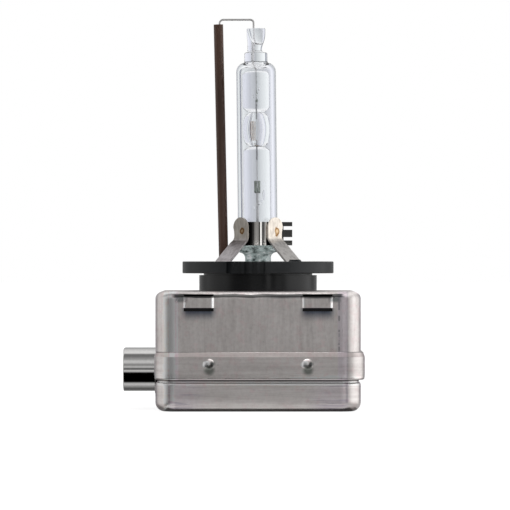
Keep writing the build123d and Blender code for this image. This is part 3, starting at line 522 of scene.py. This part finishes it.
def neck_quartz(name):
    """Reworked quartz where the neck was flame-cut: milky, pale aqua and mottled, with a faint painted glow
    in its own colours.
    """
    material, shader, bsdf = new_material(name, ior=1.46, roughness=0.12)
    bsdf.inputs["Transmission Weight"].default_value = 0.3
    # painted light: a faint glow, though the neck is no lamp
    bsdf.inputs["Emission Strength"].default_value = 0.24
    marks = shader.noise(700, detail=4, stretch=(1, 1, 1.6), roughness=0.65)
    colour = shader.ramp(marks, [
        (0.36, (0.03, 0.035, 0.035)), (0.44, (0.36, 0.42, 0.41)),
        (0.56, (0.62, 0.71, 0.7)), (0.66, (1.0, 0.97, 0.98)),
    ])
    shader.link(colour, bsdf.inputs["Base Color"])
    shader.link(colour, bsdf.inputs["Emission Color"])
    shader.link(shader.bump(marks, 0.5, 0.0001), bsdf.inputs["Normal"])
    return material


def salt_film(name):
    """Patchy translucent salt, beige, that fades out into the clear wall."""
    material, shader, bsdf = new_material(name, roughness=0.5)
    patches = shader.noise(900, detail=4, roughness=0.6)
    shader.link(
        shader.ramp(patches, [(0.3, (0.72, 0.5, 0.34)), (0.7, (0.95, 0.72, 0.54))]),
        bsdf.inputs["Base Color"],
    )
    shader.link(shader.ramp(patches, [(0.3, 0.3), (0.7, 0.5)]), bsdf.inputs["Alpha"])
    return material


def ceramic_brown(name):
    """Unglazed brown ceramic with faint streaks along the tube."""
    material, shader, bsdf = new_material(name, ior=1.5)
    streaks = shader.noise(500, detail=4, stretch=(1, 1, 0.08))
    fine = shader.noise(2500, detail=3)
    colour = shader.ramp(streaks, [(0.25, (0.1, 0.052, 0.034)), (0.75, (0.2, 0.105, 0.072))])
    shader.link(colour, bsdf.inputs["Base Color"])
    shader.link(shader.ramp(fine, [(0.3, 0.38), (0.7, 0.5)]), bsdf.inputs["Roughness"])
    shader.link(shader.bump(fine, 0.2, 0.00002), bsdf.inputs["Normal"])
    return material


# ---------------------------------------------------------------- mesh helpers
def burner_point(radius, angle, height):
    """A point of the burner, from its own radius, angle and height in millimetres."""
    side = BURNER_SIDE * (radius * math.cos(angle)) + Vector((0, radius * math.sin(angle), 0))
    return (side + BURNER_UP * height) * MM


def arc(centre, radii, start, end, steps):
    """Points (r, z) along an elliptical arc; angles in degrees."""
    made = []
    for index in range(steps + 1):
        a = math.radians(start + (end - start) * index / steps)
        made.append((centre[0] + radii[0] * math.cos(a), centre[1] + radii[1] * math.sin(a)))
    return made


def lathe(bm, outline, turns=128):
    """Turn an outline of (r, z) or (r, z, sideways shift) about the burner axis."""
    rings = []
    for point in outline:
        radius, height = point[:2]
        shift = BURNER_SIDE * (point[2] * MM) if len(point) == 3 else Vector()
        if radius < 1e-6:
            rings.append([bm.verts.new(burner_point(0, 0, height) + shift)])
            continue
        angles = [2 * math.pi * index / turns for index in range(turns)]
        rings.append([bm.verts.new(burner_point(radius, angle, height) + shift) for angle in angles])
    for low, high in zip(rings, rings[1:]):
        for index in range(turns):
            after = (index + 1) % turns
            if len(low) == 1 and len(high) == 1:
                continue
            if len(low) == 1:
                bm.faces.new((low[0], high[after], high[index]))
            elif len(high) == 1:
                bm.faces.new((low[index], low[after], high[0]))
            else:
                bm.faces.new((low[index], low[after], high[after], high[index]))
    return rings


def finish_mesh(bm, name, material, smooth=True, outward=True):
    """Make the piece: outward normals, shading, material, and a place on the frame's one body."""
    if outward:
        bmesh.ops.recalc_face_normals(bm, faces=bm.faces)
    mesh = bpy.data.meshes.new(name)
    bm.to_mesh(mesh)
    bm.free()
    for polygon in mesh.polygons:
        polygon.use_smooth = smooth
    piece = bpy.data.objects.new(name, mesh)
    bpy.context.scene.collection.objects.link(piece)
    piece.data.materials.append(material)
    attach(piece, "root")
    return piece


# ---------------------------------------------------------------- glass
BULB_BORE = BULB_RADIUS - BULB_WALL
VOID_LOW_Z = 2.45
VOID_TOP_Z = 41.45
STEM_TOP_Z = 40.5


def add_glass(name, node, outside, voids, material):
    """Turned glass: one outside skin and the hollows in it, with normals that face out of the glass."""
    bm = bmesh.new()
    lathe(bm, outside)
    bmesh.ops.recalc_face_normals(bm, faces=bm.faces)
    for outline in voids:
        before = set(bm.faces)
        lathe(bm, outline)
        inside = [face for face in bm.faces if face not in before]
        bmesh.ops.recalc_face_normals(bm, faces=inside)
        bmesh.ops.reverse_faces(bm, faces=inside)
    piece = finish_mesh(bm, name, material, outward=False)
    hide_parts(node)
    return piece


def paint_below(piece, material, height):
    """Give the faces under a height in millimetres a second material."""
    piece.data.materials.append(material)
    for polygon in piece.data.polygons:
        if polygon.center.z < height * MM:
            polygon.material_index = 1


def add_outer_bulb(material, neck_material):
    """Outer bulb with its neck, shoulder, collar and the open flared end, and the hollow inside."""
    outside = [(0, -4.98), (2.725, -4.98), (2.725, 0.2)]
    outside += arc((2.725 + 1.2, 0.75), (1.2, 1.15), 180, 100, 14)
    outside += arc((BULB_RADIUS - 0.45, 2.35), (0.45, 0.45), -70, 0, 8)
    outside += [(BULB_RADIUS, height) for height in (3, 6, 12, 20, 28, 36)]
    outside += arc((BULB_RADIUS - 1.75, 40.1), (1.75, 1.95), 0, 78, 18)
    outside += arc((2.45 + 0.25, 42.35), (0.25, 0.3), -95, -180, 6)
    outside += arc((2.45 - 0.4, 43.8), (0.4, 0.45), 0, 75, 7)
    # the open end: bent over to the left above the collar, and flared
    outside += [(1.8, 44.3, -0.1), (1.6, 44.42, -0.2), (1.54, 44.7, -0.24), (1.55, 45.2, -0.22)]
    outside += [(1.62, 45.8, -0.16), (1.74, 46.4, -0.06), (1.86, 47.0, 0.02), (1.94, 47.7, 0.06)]
    outside += [(1.98, 48.5, 0.07), (1.98, 48.95, 0.07)]
    outside += [(r, z, 0.07) for r, z in arc((1.78, 49.15), (0.2, 0.2), 0, 90, 5)]
    outside += [(r, z, 0.2) for r, z in arc((1.56, 49.15), (0.1, 0.2), 90, 180, 5)]
    outside += [(1.42, 48.6, 0.26), (1.3, 47.8, 0.3), (1.12, 47.0, 0.35), (0.92, 46.5, 0.38)]
    outside += [(0.68, 46.15, 0.4), (0.4, 45.95, 0.4), (0, 45.88, 0.4)]
    void = [(0, VOID_LOW_Z), (1.9, VOID_LOW_Z), (2.25, VOID_LOW_Z + 0.2)]
    void += arc((BULB_BORE - 0.8, 3.9), (0.8, 0.8), -60, 0, 8)
    void += [(BULB_BORE, height) for height in (6, 12, 20, 28, 36)]
    void += arc((BULB_BORE - 1.1, VOID_TOP_Z - 1.4), (1.1, 1.2), 0, 82, 16)
    void.append((0, VOID_TOP_Z))
    piece = add_glass("outer_bulb_glass", "outer_bulb", outside, [void], material)
    paint_below(piece, neck_material, NECK_Z)


def arc_tube_radius(height):
    """Radius of the burner: a rod with an oval chamber between two pinched necks."""
    away = abs(height - CHAMBER_Z)
    oval = CHAMBER_RADIUS * math.sqrt(1 - (PINCH_AWAY / CHAMBER_HALF) ** 2)
    if away < PINCH_AWAY:
        radius = CHAMBER_RADIUS * math.sqrt(1 - (away / CHAMBER_HALF) ** 2)
    else:
        radius = STEM_RADIUS - (STEM_RADIUS - oval) * math.exp((PINCH_AWAY - away) / 0.4)
    return radius - PINCH_DEPTH * math.exp(-((away - PINCH_AWAY) / 0.5) ** 2)


def add_arc_tube(material):
    """Stems drawn as a rod that nearly fills the bulb, with the oval chamber between them."""
    low_z = VOID_LOW_Z + 0.05
    outside = [(0, low_z), (1.9, low_z), (2.5, 3.2), (2.85, 4.0)]
    outside += [(STEM_RADIUS, height) for height in (5, 8, 16)]
    steps = 120
    heights = [20 + (36 - 20) * index / steps for index in range(steps + 1)]
    outside += [(arc_tube_radius(height), height) for height in heights]
    outside += arc((STEM_RADIUS - 1.3, STEM_TOP_Z - 1.3), (1.3, 1.15), 0, 82, 16)
    outside.append((0, STEM_TOP_Z))
    cavity = arc((0, CHAMBER_Z), (CAVITY_RADIUS, CAVITY_HALF), -90, 90, 48)
    cavity[0] = (0, CHAMBER_Z - CAVITY_HALF)
    cavity[-1] = (0, CHAMBER_Z + CAVITY_HALF)
    # bubbles drawn out in the lower stem when it was sealed
    bubbles = [bubble(0.17, 1.1, 14.1, 0.95), bubble(0.3, 0.34, 12.3, 0.15), bubble(0.14, 0.5, 11.3, -0.45)]
    bubbles += [bubble(0.12, 0.5, 12.9, 0.6), bubble(0.16, 0.3, 36.4, 0.4), bubble(0.1, 0.5, 34.9, -0.5)]
    add_glass("arc_tube_glass", "arc_tube", outside, [cavity, *bubbles], material)


def bubble(radius, half, height, sideways):
    """Outline of an oval bubble beside the burner's axis."""
    points = [(r, z, sideways) for r, z in arc((0, height), (radius, half), -90, 90, 12)]
    points[0] = (0, height - half, sideways)
    points[-1] = (0, height + half, sideways)
    return points


def add_weld_marks(material):
    """The crimped sleeve on the lower lead and the weld nuggets on the upper foil."""
    bm = bmesh.new()
    sleeve = [(0.37, 14.5), (0.42, 14.45), (0.46, 14.6), (0.45, 16.0)]
    sleeve += [(0.47, 16.9), (0.42, 17.05), (0.37, 17.0)]
    lathe(bm, sleeve + [sleeve[0]], turns=48)
    for height, radius, half in ((35.7, 0.13, 0.3), (34.0, 0.18, 0.42), (37.9, 0.07, 0.3)):
        lathe(bm, bubble(radius, half, height, 0.05), turns=32)
    piece = finish_mesh(bm, "weld_marks", material)


def add_halide_film(material):
    """The thin film of salt on the left wall of the chamber's cavity."""
    bm = bmesh.new()
    rows = []
    for height in range(21):
        up = -0.62 + 1.1 * height / 20
        row = []
        for step in range(25):
            angle = math.radians(100 + 150 * step / 24)
            radius = (CAVITY_RADIUS - 0.02) * math.sqrt(1 - up * up)
            row.append(bm.verts.new(burner_point(radius, angle, CHAMBER_Z + CAVITY_HALF * up)))
        rows.append(row)
    for low, high in zip(rows, rows[1:]):
        for index in range(len(low) - 1):
            bm.faces.new((low[index], low[index + 1], high[index + 1], high[index]))
    piece = finish_mesh(bm, "halide_film", material, outward=False)


# ---------------------------------------------------------------- studio
def add_floor():
    """The pale floor that only the camera sees directly."""
    bm = bmesh.new()
    bmesh.ops.create_circle(bm, cap_ends=True, radius=4.0, segments=128)
    mesh = bpy.data.meshes.new("floor")
    bm.to_mesh(mesh)
    bm.free()
    floor = bpy.data.objects.new("floor", mesh)
    floor.location.z = FLOOR_Z
    bpy.context.scene.collection.objects.link(floor)
    material, shader, bsdf = new_material("floor_white", roughness=0.9)
    bsdf.inputs["Emission Strength"].default_value = 0.85
    bsdf.inputs["Emission Color"].default_value = (1, 1, 1, 1)
    tone = shader.noise(3, detail=2)
    shader.link(shader.ramp(tone, [(0.3, 0.45), (0.7, 0.5)]), bsdf.inputs["Base Color"])
    floor.data.materials.append(material)
    # the studio itself says what glossy and clear surfaces find below the horizon
    floor.visible_glossy = False
    floor.visible_transmission = False
    floor.visible_diffuse = False


def add_card(name, corners, level, fade=None):
    """A flat card that only reflections see; fade is (start, end) along X where it comes up to full."""
    bm = bmesh.new()
    bm.faces.new([bm.verts.new(Vector(corner) * MM) for corner in corners])
    mesh = bpy.data.meshes.new(name)
    bm.to_mesh(mesh)
    bm.free()
    card = bpy.data.objects.new(name, mesh)
    bpy.context.scene.collection.objects.link(card)
    material = bpy.data.materials.new(name)
    material.use_nodes = True
    material.node_tree.nodes.clear()
    shader = Shader(material.node_tree)
    glow = shader.node("ShaderNodeEmission")
    glow.inputs["Color"].default_value = (1, 1, 1, 1)
    glow.inputs["Strength"].default_value = level
    output = shader.node("ShaderNodeOutputMaterial")
    if fade:
        clear = shader.node("ShaderNodeBsdfTransparent")
        blend = shader.node("ShaderNodeMixShader")
        shader.link(shader.smooth(shader.place()[0], *fade), blend.inputs[0])
        shader.link(clear.outputs[0], blend.inputs[1])
        shader.link(glow.outputs[0], blend.inputs[2])
        shader.link(blend.outputs[0], output.inputs["Surface"])
    else:
        shader.link(glow.outputs[0], output.inputs["Surface"])
    card.data.materials.append(material)
    for kind in ("camera", "diffuse", "transmission", "volume_scatter", "shadow"):
        setattr(card, "visible_" + kind, False)


def rectangle(low, high, z):
    """Corners of a level rectangle, in millimetres."""
    return [(low[0], low[1], z), (high[0], low[1], z), (high[0], high[1], z), (low[0], high[1], z)]


def add_cards():
    """A dark mat of painted shadow right under the box, the table beside it, and strips over its front, right
    and back edges.
    """
    under = FLOOR_Z / MM - 0.15
    # painted shadow: a dark mat that reflections find under the box in place of the shaded table
    add_card("shadow_mat", rectangle((-19.5, -21), (19.8, 21), under), 0.04)
    add_card("mat_front", rectangle((-21, -29), (21.4, -21), under), 0.5)
    add_card("mat_back", rectangle((-21, 21), (21.4, 29), under), 0.5)
    add_card("mat_right", rectangle((21.4, -29), (29, 29), under), 0.5)
    add_card("strip_front", rectangle((-21, -32), (21.4, -21.5), 4.0), 2.3, fade=(-20, -2))
    add_card("strip_back", rectangle((-21, 21.5), (21.4, 32), 4.0), 1.0)
    add_card("strip_right", rectangle((21.8, -32), (32, 32), 4.0), 1.0)
    # a narrow upright light that only the clamp ring faces
    ring_light = [(2.3, -15, 1.5), (3.7, -15, 1.5), (3.7, -15, 10), (2.3, -15, 10)]
    add_card("ring_light", ring_light, 1.1)


# brightness met going round from below through the camera's side, overhead and behind
# (degrees: -90 below, 0 the camera's side, 90 overhead, 180 behind)
STUDIO_RISE = [
    (-180, 0.35), (-150, 0.15), (-120, 0.1), (-100, 0.33), (-83, 0.6), (-75, 0.3), (-69, 0.0),
    (-16, 0.0), (-12, 0.25), (-7, 0.6), (-3, 0.6), (0, 0.3), (3, 0.12), (8, 0.12), (12, 0.45),
    (18, 0.5), (24, 0.28), (30, 0.28), (40, 0.6), (48, 0.6), (58, 0.36), (70, 0.25), (80, 0.17),
    (92, 0.2), (102, 0.78), (115, 0.8), (140, 0.6), (165, 0.4), (180, 0.35),
]
# how the camera's side of the studio varies from left to right (degrees from the camera, factor)
STUDIO_ROUND = [
    (-180, 1.0), (-60, 1.0), (-45, 0.5), (-18, 0.6), (-13, 1.0), (7, 1.0), (11, 0.5), (15, 0.5),
    (18, 2.6), (23, 2.6), (26, 0.5), (32, 0.5), (36, 1.6), (46, 1.6), (52, 0.7), (65, 0.7), (75, 1.0),
    (180, 1.0),
]
# what clear glass shows of the background, by how far a ray ends up turned to the left or right
BEHIND = [
    (0.0, (0.8, 0.82, 0.85)), (0.07, (0.7, 0.72, 0.76)),
    (0.11, (0.24, 0.26, 0.32)), (0.165, (0.26, 0.28, 0.34)),
    (0.2, (0.95, 0.98, 1.0)), (0.3, (0.84, 0.88, 0.9)), (0.4, (0.72, 0.75, 0.77)), (0.48, (0.55, 0.58, 0.6)),
    (0.51, (0.47, 0.49, 0.52)), (0.6, (0.58, 0.6, 0.65)), (0.7, (0.68, 0.7, 0.78)), (0.8, (0.8, 0.82, 0.91)),
    (0.9, (0.9, 0.92, 1.0)), (1.0, (0.9, 0.9, 0.92)),
]
RIGHT_BOX = 1.12
LEFT_BOX = 0.62
RISE_TOP = 1.5
ROUND_TOP = 3.0


def add_world():
    """A studio with a soft box on each side, dim towards the camera, and a pale background."""
    world = bpy.data.worlds.new("studio")
    bpy.context.scene.world = world
    world.use_nodes = True
    shader = Shader(world.node_tree)
    direction = shader.node("ShaderNodeTexCoord").outputs["Generated"]
    split = shader.node("ShaderNodeSeparateXYZ")
    shader.link(direction, split.inputs[0])
    ahead = shader.value("MULTIPLY", split.outputs["Y"], -1)

    def around(second, stops, top):
        """Brightness by the direction's angle about one axis; top is the brightest stop's ceiling."""
        turn = shader.value("ARCTAN2", second, ahead)
        place = shader.value("ADD", shader.value("DIVIDE", turn, 2 * math.pi), 0.5)
        scaled = [((degrees + 180) / 360, level / top) for degrees, level in stops]
        return shader.value("MULTIPLY", shader.ramp(place, scaled), top)

    rise = around(split.outputs["Z"], STUDIO_RISE, RISE_TOP)
    sweep = around(split.outputs["X"], STUDIO_ROUND, ROUND_TOP)
    steep = shader.ramp(shader.value("ABSOLUTE", split.outputs["Z"]), [(0.3, 0.0), (0.6, 1.0)])
    sweep = shader.mix(steep, sweep, (1.0, 1.0, 1.0))
    front = shader.value("MULTIPLY", rise, sweep)
    right = shader.ramp(split.outputs["X"], [(0.72, 0.0), (0.92, 1.0)], smooth=True)
    leftward = shader.value("MULTIPLY", split.outputs["X"], -1)
    left = shader.ramp(leftward, [(0.78, 0.0), (0.92, 1.0)], smooth=True)
    level = shader.mix(right, front, (RIGHT_BOX, RIGHT_BOX, RIGHT_BOX))
    level = shader.mix(left, level, (LEFT_BOX, LEFT_BOX, LEFT_BOX))
    path = shader.node("ShaderNodeLightPath")
    through = shader.ramp(shader.value("ADD", shader.value("MULTIPLY", split.outputs["X"], 0.5), 0.5), BEHIND)
    tilted = shader.ramp(shader.value("ABSOLUTE", split.outputs["Z"]), [(0.3, 0.0), (0.6, 1.0)])
    through = shader.mix(tilted, through, (0.97, 0.98, 1.0))
    inside = shader.value("GREATER_THAN", path.outputs["Transmission Depth"], 0.5)
    seen = shader.mix(inside, level, through)
    seen = shader.mix(path.outputs["Is Camera Ray"], seen, (1.0, 1.0, 1.0))
    background = world.node_tree.nodes["Background"]
    shader.link(seen, background.inputs["Color"])


add_camera()
add_world()
add_floor()
add_cards()

add_outer_bulb(quartz("quartz_clear", (0.985, 0.988, 0.992)), neck_quartz("quartz_neck"))
add_arc_tube(quartz("quartz_stem", (0.955, 0.958, 0.968)))
add_halide_film(salt_film("halide_film"))
add_weld_marks(bare_metal("weld_metal", (0.12, 0.14, 0.12), (0.42, 0.46, 0.4), 0.4))

# ---------------------------------------------------------------- materials of the CAD nodes
can_metal = can_sheet("can_metal")
cover_metal = cover_sheet("cover_metal")
cap_plastic = cap_moulding("cap_plastic")
dark_plastic = plain_plastic("dark_plastic", (0.012, 0.012, 0.013), (0.022, 0.022, 0.023), 0.5)
chrome = bare_metal("chrome", (0.78, 0.77, 0.76), (0.86, 0.85, 0.84), 0.06, strength=0.02)
polished = ring_steel("polished_steel")
# lit and shaded copies of one steel: the left leg's head is painted dark and the right leg's head bright
shaded_leg_steel = leg_steel("leg_steel_left_shaded", (3.35, 4.07, 6.46), (0.42, 0.39, 0.35), (0.56, 0.53, 0.54), 0.7)
lit_leg_steel = leg_steel("leg_steel_right_lit", (3.92, 3.5, 6.3), (1.0, 0.92, 0.82), (0.6, 0.58, 0.56), 2.3)
wire_metal = bare_metal("wire_metal", (0.8, 0.79, 0.78), (0.95, 0.94, 0.93), 0.5)
tungsten = bare_metal("tungsten", (0.25, 0.25, 0.26), (0.5, 0.5, 0.5), 0.35)
molybdenum = bare_metal("molybdenum", (0.45, 0.45, 0.45), (0.75, 0.74, 0.72), 0.35)
tinned_brass = bare_metal("tinned_brass", (0.6, 0.5, 0.3), (0.75, 0.66, 0.45), 0.2)
copper = bare_metal("copper", (0.6, 0.26, 0.13), (0.78, 0.4, 0.24), 0.25)
enamelled = bare_metal("enamelled_copper", (0.3, 0.08, 0.03), (0.5, 0.18, 0.07), 0.25, (0.1, 1, 0.1), 4000)
ferrite = plain_plastic("ferrite", (0.02, 0.02, 0.022), (0.05, 0.05, 0.055), 0.6)
potting = plain_plastic("potting", (0.03, 0.028, 0.026), (0.06, 0.055, 0.05), 0.35)
resin_red = plain_plastic("capacitor_resin", (0.3, 0.03, 0.015), (0.45, 0.06, 0.03), 0.25)
lacquer = plain_plastic("resistor_lacquer", (0.35, 0.27, 0.16), (0.5, 0.4, 0.26), 0.3)
white_ceramic = plain_plastic("white_ceramic", (0.66, 0.64, 0.6), (0.8, 0.78, 0.74), 0.2)
brown_ceramic = ceramic_brown("brown_ceramic")
salt = plain_plastic("halide_salt", (0.62, 0.46, 0.36), (0.82, 0.66, 0.54), 0.6)

NODE_MATERIALS = {
    "cap_flange": cap_plastic,
    "shield_can": can_metal,
    "shield_cover": cover_metal,
    "connector_shell": chrome,
    "connector_insert": dark_plastic,
    "clamp_ring": polished,
    "upper_electrode": tungsten,
    "lower_electrode": tungsten,
    "upper_foil": molybdenum,
    "lower_foil": molybdenum,
    "upper_lead": molybdenum,
    "lower_lead": molybdenum,
    "halide_fill": salt,
    "return_wire": wire_metal,
    "return_tube": brown_ceramic,
    "return_terminal": tinned_brass,
    "hv_contact": tinned_brass,
    "igniter_housing": dark_plastic,
    "housing_lid": dark_plastic,
    "coil_bobbin": dark_plastic,
    "circuit_carrier": dark_plastic,
    "transformer_core": ferrite,
    "secondary_winding": enamelled,
    "primary_winding": copper,
    "busbars": copper,
    "spark_gap_body": white_ceramic,
    "spark_gap_caps": tinned_brass,
    "ignition_capacitor": resin_red,
    "bleed_resistor": lacquer,
    "potting_compound": potting,
}
for name in nodes:
    if name.startswith("support_leg"):
        NODE_MATERIALS[name] = lit_leg_steel if name.endswith("right") else shaded_leg_steel
    if name.startswith("contact_pin"):
        NODE_MATERIALS[name] = tinned_brass

for name, material in NODE_MATERIALS.items():
    mesh = nodes[name].data
    mesh.materials.clear()
    mesh.materials.append(material)
